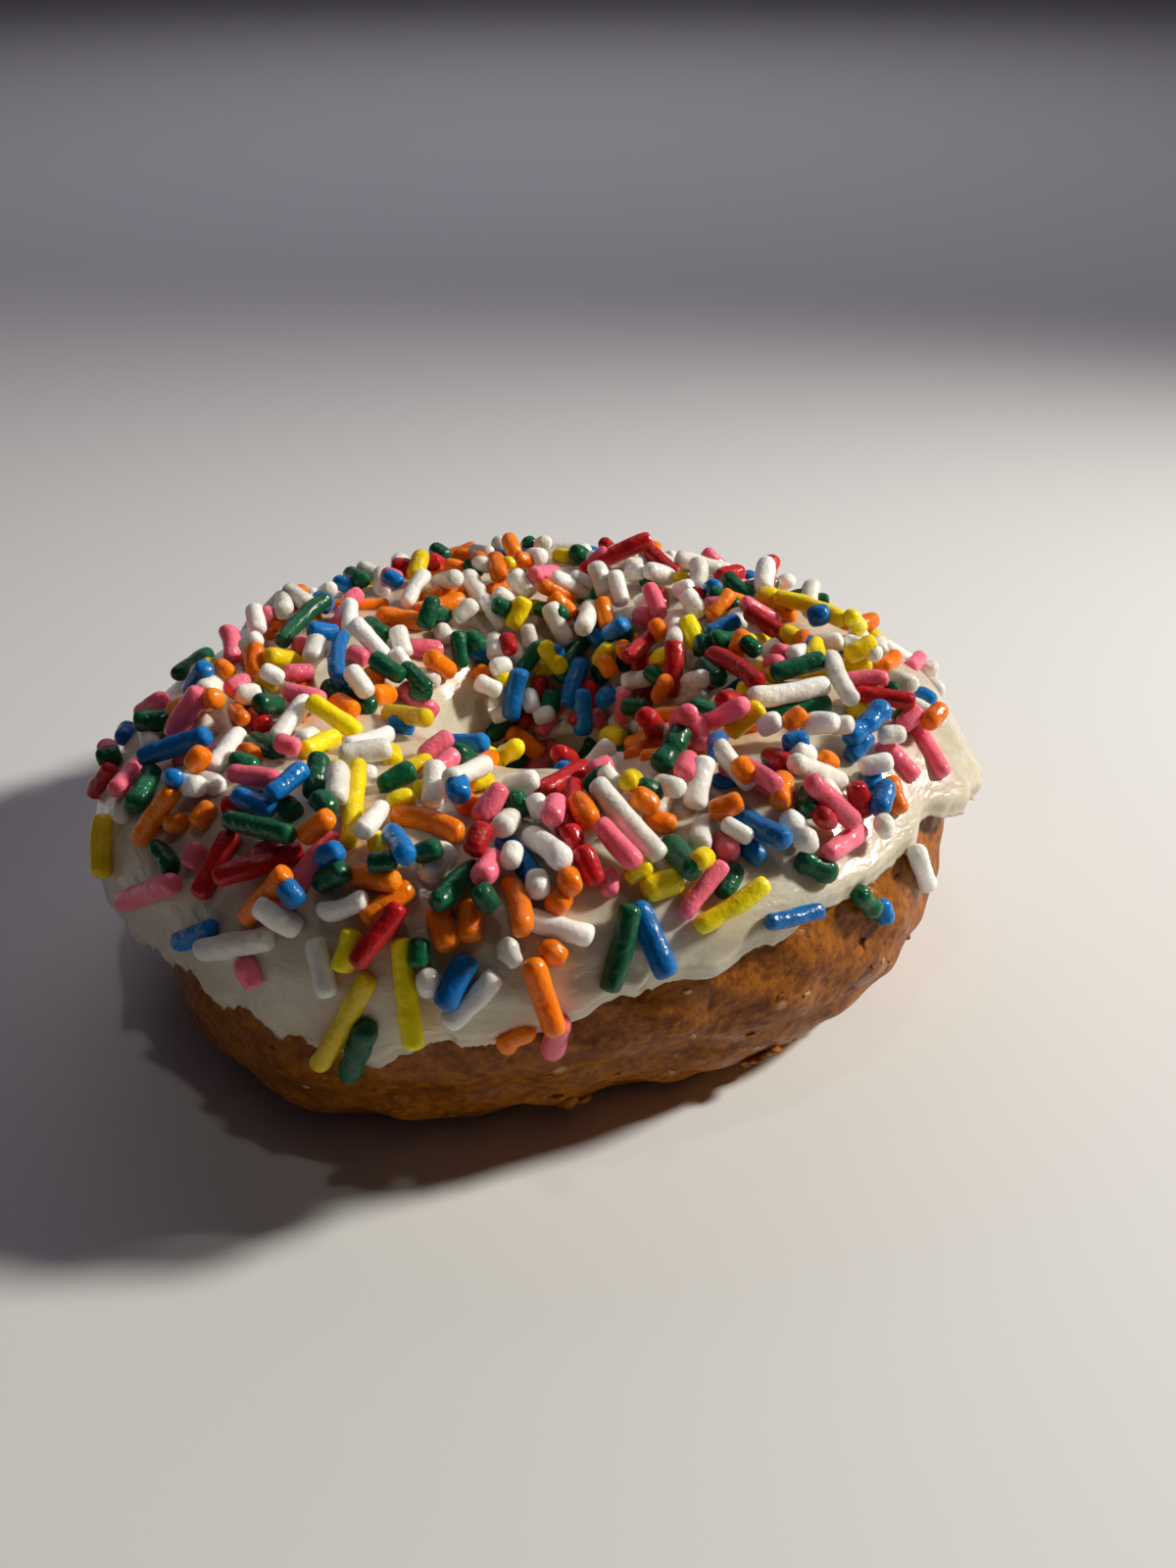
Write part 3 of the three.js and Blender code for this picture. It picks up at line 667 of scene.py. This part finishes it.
def camera_axes():
    """The camera's place in millimetres and its right, up and ahead directions."""
    e = math.radians(CAMERA_ELEVATION)
    back = np.array([0.0, -math.cos(e), math.sin(e)])
    right = np.array([1.0, 0.0, 0.0])
    return AIM + back * CAMERA_DISTANCE, right, np.cross(back, right), -back


def pixel_of(point):
    """Where the photograph shows a point."""
    place, right, up, ahead = camera_axes()
    away = point - place
    scale = FOCAL_PIXELS / (away @ ahead)
    return np.array([FRAME_WIDTH / 2 + scale * (away @ right), FRAME_HEIGHT / 2 - scale * (away @ up)])


def placed(place, x, y, z):
    """The matrix that stands a thing at a place in millimetres, along three directions."""
    rotation = Matrix(np.stack([x, y, z], 1).tolist()).to_4x4()
    return Matrix.Translation((place * MM).tolist()) @ rotation


class Face:
    """An outer face in tables, so that hundreds of sprinkles or crumbs settle on it quickly."""

    TURN, LEAN, LOWEST, HIGHEST = 0.5, 1.0, -80.0, 250.0  # degrees
    BROAD = 6  # steps each way that a normal is drawn from, round the ring
    RAY_HALF, RAY_STEP = 60.0, 0.3  # millimetres

    def __init__(self, true_reach, broad_reach):
        azimuth = np.arange(0, 360, self.TURN)[:, None]
        section = np.arange(self.LOWEST, self.HIGHEST, self.LEAN)[None]
        self.reaches = true_reach(azimuth, section)
        broad = on_tube(azimuth, section, broad_reach(azimuth, section))
        round_ring = np.roll(broad, -self.BROAD, 0) - np.roll(broad, self.BROAD, 0)
        up_tube = np.gradient(broad, 3, axis=1)
        normals = np.cross(round_ring, up_tube)
        self.normals = normals / np.linalg.norm(normals, axis=-1, keepdims=True)

    def place_of(self, azimuth, section):
        turn = np.mod(azimuth, 360) / self.TURN
        lean = np.clip((section - self.LOWEST) / self.LEAN, 0, self.reaches.shape[1] - 1.001)
        return turn, lean

    def reach(self, azimuth, section):
        turn, lean = self.place_of(azimuth, section)
        i, j = np.floor(turn).astype(int), np.floor(lean).astype(int)
        u, v = turn - i, lean - j
        i, after = i % len(self.reaches), (i + 1) % len(self.reaches)
        low = self.reaches[i, j] * (1 - u) + self.reaches[after, j] * u
        high = self.reaches[i, j + 1] * (1 - u) + self.reaches[after, j + 1] * u
        return low * (1 - v) + high * v

    def normal(self, azimuth, section):
        turn, lean = self.place_of(azimuth, section)
        return self.normals[int(turn) % len(self.normals), int(lean)]

    def point(self, azimuth, section):
        return on_tube(azimuth, section, self.reach(azimuth, section))

    def seen_at(self, x, y, above):
        """The point of the face, raised by above, that a pixel shows or comes nearest to."""
        place, right, up, ahead = camera_axes()
        ray = ahead + right * (x - FRAME_WIDTH / 2) / FOCAL_PIXELS
        ray = ray + up * (FRAME_HEIGHT / 2 - y) / FOCAL_PIXELS
        ray /= np.linalg.norm(ray)

        def depth(t):
            azimuth, section, reach = to_tube(place + np.multiply.outer(t, ray))
            return self.reach(azimuth, section) + above - reach

        steps = np.arange(CAMERA_DISTANCE - self.RAY_HALF, CAMERA_DISTANCE + self.RAY_HALF, self.RAY_STEP)
        depths = depth(steps)
        if (depths > 0).any():
            fine = np.linspace(-self.RAY_STEP, 0, 12) + steps[np.argmax(depths > 0)]
            return place + fine[np.argmax(depth(fine) > 0)] * ray
        return place + steps[np.argmax(depths)] * ray


class Pile:
    """The sprinkles laid so far, as rods, and as balls along them that later ones rest on."""

    def __init__(self, coat):
        self.coat = coat
        self.rods = []
        self.balls = np.empty((0, 3))
        self.radii = np.empty(0)

    def rest(self, middle, direction, length, radius, sink=SINK, steepest=STEEPEST):
        """A rod at rest on what is under it: its middle, direction, height and how steep it would lie."""
        azimuth, section, _ = to_tube(middle)
        normal = self.coat.normal(azimuth, section)
        direction = direction - normal * (direction @ normal)
        direction /= np.linalg.norm(direction)
        base = self.coat.point(azimuth, section)
        along = np.linspace(-1, 1, 9) * max(length / 2 - ROUNDED * radius, 0.3)
        places = base + along[:, None] * direction
        a, s, reach = to_tube(places)
        lift = self.coat.reach(a, s) + radius * (1 - sink) - reach
        near = np.einsum("ij,ij->i", self.balls - base, self.balls - base) < (length / 2 + 4.5) ** 2
        if near.any():
            away = self.balls[near][None] - places[:, None]
            up = away @ normal
            gap = (self.radii[near] + radius) * PRESS
            across = np.einsum("ijk,ijk->ij", away, away) - up * up
            over = gap * gap - across
            lift = np.maximum(lift, np.where(over > 0, up + np.sqrt(np.maximum(over, 0)), -9).max(1))
        height, slope = held_at(along, lift)
        limit = math.tan(math.radians(steepest))
        lying = direction + float(np.clip(slope, -limit, limit)) * normal
        return base + height * normal, lying / np.linalg.norm(lying), height, abs(slope) / limit

    def clearance(self, middle, direction, length, radius):
        """How far a rod hangs from the nearest thing, below 0 where it touches one."""
        places = middle + np.linspace(-1, 1, 9)[:, None] * (length / 2 - ROUNDED * radius) * direction
        azimuth, section, reach = to_tube(places)
        gap = (reach - self.coat.reach(azimuth, section)).min() - radius
        away = np.linalg.norm(self.balls[None] - places[:, None], axis=-1) - self.radii - radius
        return min(gap, away.min(initial=math.inf))

    def lay(self, middle, direction, length, radius, colour, seed, lumpy=False):
        steps = max(2, round(length / BALL_STEP))
        span = np.linspace(-1, 1, steps) * (length / 2 - ROUNDED * radius)
        self.balls = np.vstack([self.balls, middle + span[:, None] * direction])
        self.radii = np.append(self.radii, np.full(steps, radius))
        self.rods.append((middle, direction, length, radius, colour, int(seed), lumpy))

    def lay_shown(self, looks, near_end, far_end, random):
        """Lays a rod where the photograph shows it, at the height that the rods under it give it."""
        radius = SUGAR_RADIUS * random.uniform(0.92, 1.08)
        depth = random.uniform(3.2, 4.6)
        apart = math.dist(near_end, far_end)
        end_on = apart < END_ON
        shown = np.add(near_end, far_end) / 2
        lift, shift, nearest = 0.8, np.zeros(2), math.inf
        for _ in range(SETTLING_ROUNDS):
            above = radius * (1 - SINK) + lift
            start, end = (self.coat.seen_at(*(pixel + shift), above) for pixel in (near_end, far_end))
            middle, across = (start + end) / 2, end - start
            if end_on:
                azimuth, section, _ = to_tube(middle)
                normal = self.coat.normal(azimuth, section)
                ahead = camera_axes()[3]
                across = ahead - normal * (ahead @ normal)
                across *= depth / max(np.linalg.norm(across), 0.05)
                middle = middle + across * END_ON_DEPTH
            length = float(np.clip(np.linalg.norm(across), SHORTEST, LONGEST))
            middle, direction, rested, _ = self.rest(middle, across / np.linalg.norm(across), length, radius)
            height = min(rested, HIGHEST)
            azimuth, section, _ = to_tube(middle)
            middle = middle - (rested - height) * self.coat.normal(azimuth, section)
            off = shown - pixel_of(middle - END_ON_DEPTH * length * direction if end_on else middle)
            if not end_on:
                half = length / 2 * direction
                drawn = np.linalg.norm(pixel_of(middle + half) - pixel_of(middle - half))
                length = max(SHORTEST, length * min(1.0, (apart + SLACK) / drawn))
            if np.linalg.norm(off) < nearest:
                nearest, best = np.linalg.norm(off), (middle, direction, length)
            lift = 0.4 * lift + 0.6 * max(0.0, height - radius * (1 - SINK))
            shift = shift + 0.5 * off
        middle, direction, length = best
        azimuth, section, _ = to_tube(middle)
        while self.clearance(middle, direction, length, radius) > 0:
            middle = middle - 0.1 * self.coat.normal(azimuth, section)
        self.lay(middle, direction, length, radius, looks[-1], random.integers(1 << 30), len(looks) > 1)

    def strew(self, count, random, likely, sink, highest, hidden=False):
        """Drops rods where likely, and keeps those that rest low enough and, if asked, out of sight."""
        names = list(SPRINKLE_COLOURS)
        shares = np.array([SPRINKLE_COLOURS[name][1] for name in names])
        wanted = len(self.rods) + count
        for _ in range(count * TRIES_EACH):
            if len(self.rods) >= wanted:
                break
            azimuth = random.uniform(0, 360)
            section = random.uniform(at_rim(azimuth, EDGE) + 4, HOLE_EDGE_SECTION - 6)
            share = (1 + 0.56 * math.cos(math.radians(section))) / 1.56
            if random.random() > likely(azimuth, section) * share:
                continue
            length = float(np.clip(random.normal(STREWN_LENGTH, STREWN_SPREAD), SHORTEST, LONGEST_STREWN))
            radius = SUGAR_RADIUS * random.uniform(0.9, 1.08)
            direction = np.cross(self.coat.normal(azimuth, section), random.normal(size=3))
            direction /= np.linalg.norm(direction)
            middle, direction, height, steep = self.rest(
                self.coat.point(azimuth, section), direction, length, radius, sink
            )
            if height > highest or steep > 1:
                continue
            raised = middle + radius * self.coat.normal(azimuth, section)
            if hidden and any(in_sight(self.coat, raised + end * length / 2 * direction) for end in (-1, 1)):
                continue
            colour = names[random.choice(len(names), p=shares / shares.sum())]
            self.lay(middle, direction, length, radius, colour, random.integers(1 << 30))


def held_at(along, lift):
    """A rod over points lifted by those heights rests on two of them, one each side of its middle."""
    left, right = np.nonzero(along <= 0)[0][:, None], np.nonzero(along >= 0)[0][None]
    apart = np.maximum(along[right] - along[left], 1e-6)
    slope = np.where(left == right, 0.0, (lift[right] - lift[left]) / apart)
    height = lift[left] - slope * along[left]
    best = np.unravel_index(np.argmax(height), height.shape)
    return float(height[best]), float(slope[best])


def sprinkle_density(azimuth, section):
    """Thick on the top and in the hole, thin towards the outer edge, none on the two smeared patches."""
    edge = at_rim(azimuth, EDGE)
    front = towards(azimuth, 275, 0.3, 0.9)
    left = towards(azimuth, 185, 0.6, 0.95)
    start = 5 + 22 * front + 26 * left
    top = smoothstep(section, edge + start, edge + start + 22)
    if math.hypot((azimuth - 183) * 0.5, section - 143) < 15:
        return 0.0
    if math.hypot((azimuth - 352) * 1.0, (section - edge) * 0.6) < 16:
        return 0.0
    return float(0.10 * (1 - front) * (1 - left) + 0.9 * top)


def in_sight(coat, point):
    """Whether the photograph would show a thing at that point."""
    place = camera_axes()[0]
    return np.linalg.norm(coat.seen_at(*pixel_of(point), 0.0) - place) > np.linalg.norm(point - place) - 0.5


def pile_in_sight(coat, azimuth, section):
    """Whether the photograph would show a sprinkle on that spot of the frosting."""
    return in_sight(coat, coat.point(azimuth, section) + 2.4 * coat.normal(azimuth, section))


def pressed_share(coat, azimuth, section):
    """How likely the pressed-in layer is: thick out of sight, less so in the hole, thin where it is seen."""
    thick = max(0.0, sprinkle_density(azimuth, section) - 0.6) / 0.4
    if not pile_in_sight(coat, azimuth, section):
        return thick
    deep = smoothstep(section, 118, 140)
    smeared = 125 < azimuth < 225 and section > 95
    return 0.0 if smeared else float(thick * max(0.4 * deep, 0.07))


LAID = {}  # the pile for each pair of settings, as the frosting and the sprinkles both need it


def laid_pile(settings):
    """The sprinkles: a pressed-in layer, those that the photograph shows, and the rest out of its sight."""
    key = settings.seed, settings.sprinkle_count
    if key not in LAID:
        random = np.random.default_rng(settings.seed)
        coat = Face(coated_reach, coat_reach)
        pile = Pile(coat)
        half = settings.sprinkle_count // 2
        pile.strew(half, random, lambda a, s: pressed_share(coat, a, s), PRESSED_SINK, PRESSED_HIGHEST)
        for row in SHOWN.replace(";", ",").split(","):
            *looks, x0, y0, x1, y1 = row.split(":")[-1].split()
            pile.lay_shown(looks, (int(x0), int(y0)), (int(x1), int(y1)), random)

        def unseen_share(azimuth, section):
            return 0.0 if pile_in_sight(coat, azimuth, section) else sprinkle_density(azimuth, section)

        pile.strew(half, random, unseen_share, SINK, HIGHEST_UNSEEN, hidden=True)
        LAID[key] = pile
    return LAID[key]


def sprinkle_points(middle, direction, length, radius, normal, seed, lumpy):
    """A pressed rod with rounded ends, a slight bow and small lumps: rings of points from end to end."""
    random = np.random.default_rng(seed)
    cap = np.array([0.0, 0.06, 0.2, 0.47, 0.88]) * radius
    body = np.linspace(cap[-1], length - cap[-1], max(3, round(length / 0.6)) + 1)[1:-1]
    t = np.concatenate([cap, body, length - cap[::-1]])
    girth = np.array([0.02, 0.5, 0.79, 0.94, 1.0])
    girth = np.concatenate([girth, np.ones(len(body)), girth[::-1]])
    side = np.cross(direction, normal) * random.choice((-1, 1))
    side /= np.linalg.norm(side)
    other = np.cross(direction, side)
    bend = random.uniform(0.05, 0.09) if random.random() < 0.1 else random.uniform(0, 0.03)
    bow = bend * length * (0.6 - (2 * t / length - 1) ** 2)
    turn = np.linspace(0, 2 * math.pi, SPRINKLE_SIDES, endpoint=False)
    ring = np.cos(turn)[:, None] * side + np.sin(turn)[:, None] * other
    centre = middle + (t - length / 2)[:, None] * direction + bow[:, None] * side
    points = centre[:, None] + (radius * girth)[:, None, None] * ring[None]
    lumps = 0.12 * noise(points, 2.0, seed % 97) + 0.09 * noise(points, 0.9, seed % 89)
    if lumpy:
        lumps = 1.6 * lumps - 0.10 * np.cos(2 * math.pi * t / 1.9)[:, None]
    squash = 1 + 0.05 * random.normal()
    out = points - centre[:, None]
    return centre[:, None] + out * (squash + lumps[..., None] * 0.9)


def tube_faces(rings):
    """The faces of a closed tube of that many rings of points."""
    here = np.arange(rings - 1)[:, None] * SPRINKLE_SIDES
    there = here + SPRINKLE_SIDES
    i = np.arange(SPRINKLE_SIDES)[None]
    j = (i + 1) % SPRINKLE_SIDES
    quads = np.stack([here + i, here + j, there + j, there + i], -1).reshape(-1, 4)
    last = (rings - 1) * SPRINKLE_SIDES
    return quads.tolist() + [list(range(SPRINKLE_SIDES))[::-1], list(range(last, last + SPRINKLE_SIDES))]


def joined_tubes(name, tubes, material):
    """One mesh object of many closed tubes, each given as its rings of points."""
    faces, count = [], 0
    for tube in tubes:
        faces += [[count + i for i in face] for face in tube_faces(len(tube))]
        count += tube.shape[0] * tube.shape[1]
    return new_object(name, np.concatenate([tube.reshape(-1, 3) for tube in tubes]), faces, material)


def dyed(points, pile, colours):
    """How much dye of those colours has bled into the frosting at each point, mostly where it lies bare."""
    spots = [
        middle + along * direction
        for middle, direction, length, _, colour, seed, _ in pile.rods
        if colour in colours and seed % 3
        for along in np.linspace(-0.4, 0.4, 5) * length
    ]
    spots = np.array(spots)
    amount = np.empty(points.shape[:2])
    for i, row in enumerate(points):
        near = spots[np.linalg.norm(spots[:, :2] - row[:, :2].mean(0), axis=1) < 22]
        away = ((row[:, None] - near[None]) ** 2).sum(-1).min(1) if len(near) else np.full(len(row), 99.0)
        amount[i] = np.exp(-away / 2.6)
    return np.clip(amount * (0.75 + 0.5 * noise(points, 2.2, 31)), 0, 1) * 0.8


def crumb_points(middle, normal, size, random):
    """A ragged flake lying flat on a face: rings of points from one side to the other."""
    side = np.cross(normal, random.normal(size=3))
    side /= np.linalg.norm(side)
    across = np.cross(normal, side)
    tilt = np.linspace(0.06, math.pi - 0.06, CRUMB_RINGS)[:, None]
    turn = np.linspace(0, 2 * math.pi, SPRINKLE_SIDES, endpoint=False)[None]
    ball = np.stack([np.cos(tilt) + 0 * turn, np.sin(tilt) * np.cos(turn), np.sin(tilt) * np.sin(turn)], -1)
    rough = 1 + 0.45 * noise(ball, 0.7, random.integers(90)) + 0.2 * noise(ball, 0.35, random.integers(90))
    shape = size * np.array([0.5, random.uniform(0.28, 0.42), random.uniform(0.16, 0.26)])
    return middle + (ball * rough[..., None] * shape) @ np.stack([side, across, normal])


class DoughnutSettings(bpy.types.PropertyGroup):
    """What can be changed without touching the code."""

    seed: IntProperty(name="Seed", default=11, min=0, description="Starts every random draw")
    sprinkle_count: IntProperty(name="Strewn sprinkles", default=420, min=0, max=900)
    crust_steps: IntProperty(name="Crust steps", default=560, min=64, description="Steps round the dough")
    coat_steps: IntProperty(name="Frosting steps", default=820, min=64, description="Steps round the ring")
    crust_bump: FloatProperty(name="Crust bump", default=0.17, min=0, description="Millimetres")
    crumb_count: IntProperty(name="Crumbs", default=110, min=0, max=400)
    floor_colour: FloatVectorProperty(name="Floor", subtype="COLOR", default=(0.80, 0.815, 0.81))


class DOUGHNUT_OT_dough(bpy.types.Operator):
    """Build the fried dough ring with its crease, crags and crust."""

    bl_idname = "doughnut.dough"
    bl_label = "Dough"

    def execute(self, context):
        settings = context.scene.doughnut
        azimuth = np.linspace(0, 360, settings.crust_steps, endpoint=False)[:, None]
        spans = ((-108, -78, 6.0), (-78, 36, 0.95), (36, 150, 9.0), (150, 250, 3.0))
        section = np.concatenate([np.arange(*span) for span in spans])[None]
        reach, painted_shade_dent = fried_reach(azimuth, section)
        points = on_tube(azimuth, section, reach)
        material = new_material("fried_crust", crust_group(), settings.crust_bump, **CRUST_SHINE)
        dough = new_object("dough_looks", points, grid_faces(*points.shape[:2]), material)
        # How deep each point is dented, which the crust's colour turns into painted shade.
        put_values(dough, "painted_shade_dent", painted_shade_dent)
        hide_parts("dough")
        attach(dough, "root")
        return {"FINISHED"}


class DOUGHNUT_OT_frosting(bpy.types.Operator):
    """Build the thick torn frosting with the spatula's ridges."""

    bl_idname = "doughnut.frosting"
    bl_label = "Frosting"

    def execute(self, context):
        settings = context.scene.doughnut
        azimuth = np.linspace(0, 360, settings.coat_steps, endpoint=False)[:, None]
        edge = edge_section(azimuth)
        hole_edge = HOLE_EDGE_SECTION + 3 * wave(azimuth, 5, 1) + 2 * wave(azimuth, 12, 0)
        share = np.concatenate([np.linspace(0, 0.1, 18, endpoint=False), np.linspace(0.1, 1, 84)])[None]
        section = edge + (hole_edge - edge) * share
        outer = on_tube(azimuth, section, spread_reach(azimuth, section, edge))
        inner_section = np.array([200, 170, 140, 110, 80])[None] + 0 * azimuth
        inner = on_tube(azimuth, inner_section, dough_reach(azimuth, inner_section) - 0.5)
        under_share = np.linspace(1, 0, 12, endpoint=False)[None]
        under_section = edge + np.maximum(24, 34 - edge) * under_share**1.3
        lip = spread_reach(azimuth, under_section, edge)
        gap = lip - (dough_reach(azimuth, under_section) - 0.35)
        depth = 0.45 + 2.2 * smoothstep(under_share, 0, 0.5) + gap * smoothstep(under_share, 0.45, 1)
        under = on_tube(azimuth, under_section, np.maximum(lip - np.minimum(depth, gap), 0))
        points = np.concatenate([outer, inner, under], 1)
        material = new_material("buttercream", frosting_group(), FROSTING_BUMP, **FROSTING_SHINE)
        frosting = new_object("frosting_looks", points, grid_faces(*points.shape[:2]), material)
        for dye, colours in (("pink_dye", ("pink", "red")), ("orange_dye", ("orange", "yellow"))):
            put_values(frosting, dye, dyed(points, laid_pile(settings), colours))
        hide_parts("frosting")
        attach(frosting, "root")
        return {"FINISHED"}


class DOUGHNUT_OT_sprinkles(bpy.types.Operator):
    """Lay the sprinkles, one mesh for each colour."""

    bl_idname = "doughnut.sprinkles"
    bl_label = "Sprinkles"

    def execute(self, context):
        pile = laid_pile(context.scene.doughnut)
        for colour, (sugar, _) in SPRINKLE_COLOURS.items():
            tubes, shades = [], []
            for middle, direction, length, radius, own_colour, seed, lumpy in pile.rods:
                if own_colour != colour:
                    continue
                azimuth, section, _ = to_tube(middle)
                normal = pile.coat.normal(azimuth, section)
                tubes.append(sprinkle_points(middle, direction, length, radius, normal, seed, lumpy))
                shades.append(np.full(tubes[-1].shape[0] * SPRINKLE_SIDES, (seed % 1000) / 1000))
            sugar = {"Sugar": sugar}
            material = new_material(f"{colour}_sugar", sprinkle_group(), SUGAR_BUMP, sugar, **SUGAR_SHINE)
            piece = joined_tubes(f"{colour}_sprinkles", tubes, material)
            put_values(piece, "shade", np.concatenate(shades))
            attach(piece, "root")
        return {"FINISHED"}


class DOUGHNUT_OT_crumbs(bpy.types.Operator):
    """Scatter flakes of crust and bits of sugar over the dough, those of the photograph first."""

    bl_idname = "doughnut.crumbs"
    bl_label = "Crumbs"

    def execute(self, context):
        settings = context.scene.doughnut
        random = np.random.default_rng(settings.seed + 1)
        face = Face(lambda a, s: fried_reach(a, s)[0], dough_reach)
        crumbs = {"flake": [], "sugar": []}
        for row in SHOWN_CRUMBS.split(","):
            kind, x, y, size = row.split()
            crumbs[kind].append((face.seen_at(float(x), float(y), 0.0), float(size)))
        for _ in range(settings.crumb_count):
            azimuth = random.uniform(0, 360)
            section = random.triangular(-76, -70, at_rim(azimuth, EDGE) - 4)
            kind = "flake" if random.random() < 0.75 else "sugar"
            crumbs[kind].append((face.point(azimuth, section), random.uniform(0.3, 0.9)))
        sugar = {"Sugar": SUGAR_BIT_COLOUR}
        for kind, material in (
            ("flake", new_material("crust_flakes", crust_group(), settings.crust_bump, **CRUST_SHINE)),
            ("sugar", new_material("sugar_bits", sprinkle_group(), SUGAR_BIT_BUMP, sugar)),
        ):
            tubes = []
            for place, size in crumbs[kind]:
                azimuth, section, _ = to_tube(place)
                tubes.append(crumb_points(place, face.normal(azimuth, section), size, random))
                tubes[-1][..., 2] = np.maximum(tubes[-1][..., 2], CRUMB_LOWEST)
            piece = joined_tubes(f"{kind}_crumbs", tubes, material)
            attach(piece, "root")
        return {"FINISHED"}


def add_floor(colour):
    """The plain pale floor."""
    material = bpy.data.materials.new("pale_floor")
    material.use_nodes = True
    shader = material.node_tree.nodes["Principled BSDF"]
    shader.inputs["Base Color"].default_value = (*colour, 1)
    shader.inputs["Roughness"].default_value = FLOOR_ROUGHNESS
    corners = [[x * FLOOR_HALF, y * FLOOR_HALF, 0] for x, y in ((-1, -1), (1, -1), (1, 1), (-1, 1))]
    floor = new_object("floor", corners, [[0, 1, 2, 3]], material, smooth=False)


def add_camera(scene):
    """The photograph's camera."""
    place, right, up, ahead = camera_axes()
    camera = bpy.data.cameras.new("camera")
    camera.sensor_width = SENSOR
    camera.lens = SENSOR * FOCAL_PIXELS / FRAME_HEIGHT
    camera.clip_start = 0.005
    holder = bpy.data.objects.new("camera", camera)
    holder.matrix_world = placed(place, right, up, -ahead)
    scene.collection.objects.link(holder)
    scene.camera = holder


def add_light(scene, name, kind, place, target, width, power, colour, cone=None):
    """A light of that width at a place, pointed at a target."""
    light = bpy.data.lights.new(name, kind)
    light.energy = power
    light.color = colour
    if kind == "SPOT":
        light.shadow_soft_size = width
        light.spot_size = math.radians(cone)
        light.spot_blend = 1.0
    else:
        light.size = width
    lamp = bpy.data.objects.new(name, light)
    z = np.subtract(place, target) / np.linalg.norm(np.subtract(place, target))
    x = np.cross((0, 0, 1), z) if abs(z[2]) < 0.99 else np.array([1.0, 0.0, 0.0])
    x /= np.linalg.norm(x)
    lamp.matrix_world = placed(np.array(place, float), x, np.cross(z, x), z)
    scene.collection.objects.link(lamp)


class DOUGHNUT_OT_stage(bpy.types.Operator):
    """Set the pale floor, the lights and the photograph's camera."""

    bl_idname = "doughnut.stage"
    bl_label = "Stage"

    def execute(self, context):
        scene = context.scene
        add_floor(scene.doughnut.floor_colour)
        add_camera(scene)
        for name, light in LIGHTS.items():
            add_light(scene, name, *light)
        world = bpy.data.worlds.new("studio")
        world.use_nodes = True
        background = world.node_tree.nodes["Background"]
        background.inputs["Color"].default_value = (*AMBIENT, 1)
        background.inputs["Strength"].default_value = AMBIENT_STRENGTH
        scene.world = world
        scene.view_settings.view_transform = "Standard"
        return {"FINISHED"}


class DOUGHNUT_PT_panel(bpy.types.Panel):
    """The buttons, in the order in which they are pressed."""

    bl_label = "Doughnut"
    bl_idname = "DOUGHNUT_PT_panel"
    bl_space_type = "VIEW_3D"
    bl_region_type = "UI"
    bl_category = "Doughnut"

    def draw(self, context):
        settings = context.scene.doughnut
        for name in DoughnutSettings.__annotations__:
            self.layout.prop(settings, name)
        for operator in OPERATORS:
            self.layout.operator(operator.bl_idname)


OPERATORS = (
    DOUGHNUT_OT_stage,
    DOUGHNUT_OT_dough,
    DOUGHNUT_OT_frosting,
    DOUGHNUT_OT_sprinkles,
    DOUGHNUT_OT_crumbs,
)


def register():
    for cls in (DoughnutSettings, *OPERATORS, DOUGHNUT_PT_panel):
        bpy.utils.register_class(cls)
    bpy.types.Scene.doughnut = PointerProperty(type=DoughnutSettings)


def unregister():
    del bpy.types.Scene.doughnut
    for cls in (DOUGHNUT_PT_panel, *reversed(OPERATORS), DoughnutSettings):
        bpy.utils.unregister_class(cls)


def main():
    for thing in list(bpy.data.objects):
        bpy.data.objects.remove(thing)
    register()
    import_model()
    bpy.ops.doughnut.stage()
    bpy.ops.doughnut.dough()
    bpy.ops.doughnut.frosting()
    bpy.ops.doughnut.sprinkles()
    bpy.ops.doughnut.crumbs()


if __name__ == "__main__":
    main()
